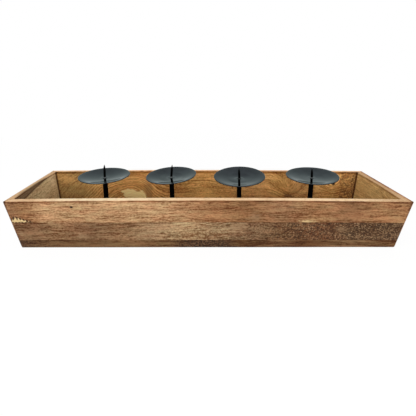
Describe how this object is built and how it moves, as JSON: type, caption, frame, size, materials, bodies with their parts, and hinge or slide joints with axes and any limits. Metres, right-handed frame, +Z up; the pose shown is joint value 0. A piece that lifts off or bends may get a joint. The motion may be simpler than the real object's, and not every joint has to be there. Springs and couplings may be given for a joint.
{
  "type": "candle tray",
  "caption": "Long flared wooden tray with mitred corners and a row of dished metal candle plates with spikes, raised on posts.",
  "frame": {"origin": "middle of the tray at the foot of its walls, on the surface it stands on", "axes": "+X along the tray to the right as seen from the front, +Y to the back, +Z up"},
  "size_m": [0.5996, 0.1446, 0.1162],
  "materials": {
    "wood_upper": "oiled mango wood, sanded, warm tan with darker grain",
    "wood_middle": "oiled mango wood, brown with dark mottled figure",
    "wood_lower": "oiled mango wood, grey-brown with dark patches",
    "wood_base": "sanded mango wood, thinly oiled",
    "slate_dish": "dark slate grey lacquer, semi-gloss",
    "black_bar": "black lacquer, satin",
    "zinc_screw": "zinc-plated steel"
  },
  "bodies": {
    "root": {"front_board_lower": "wood_lower", "front_board_middle": "wood_middle", "front_board_upper": "wood_upper", "right_end_lower": "wood_lower", "right_end_middle": "wood_middle", "right_end_upper": "wood_upper", "back_board_lower": "wood_lower", "back_board_middle": "wood_middle", "back_board_upper": "wood_upper", "left_end_lower": "wood_lower", "left_end_middle": "wood_middle", "left_end_upper": "wood_upper", "base_front": "wood_base", "base_middle": "wood_base", "base_back": "wood_base", "screw_1": "zinc_screw", "post_1": "black_bar", "dish_1": "slate_dish", "spike_1": "black_bar", "screw_2": "zinc_screw", "post_2": "black_bar", "dish_2": "slate_dish", "spike_2": "black_bar", "screw_3": "zinc_screw", "post_3": "black_bar", "dish_3": "slate_dish", "spike_3": "black_bar", "screw_4": "zinc_screw", "post_4": "black_bar", "dish_4": "slate_dish", "spike_4": "black_bar"}
  },
  "joints": []
}
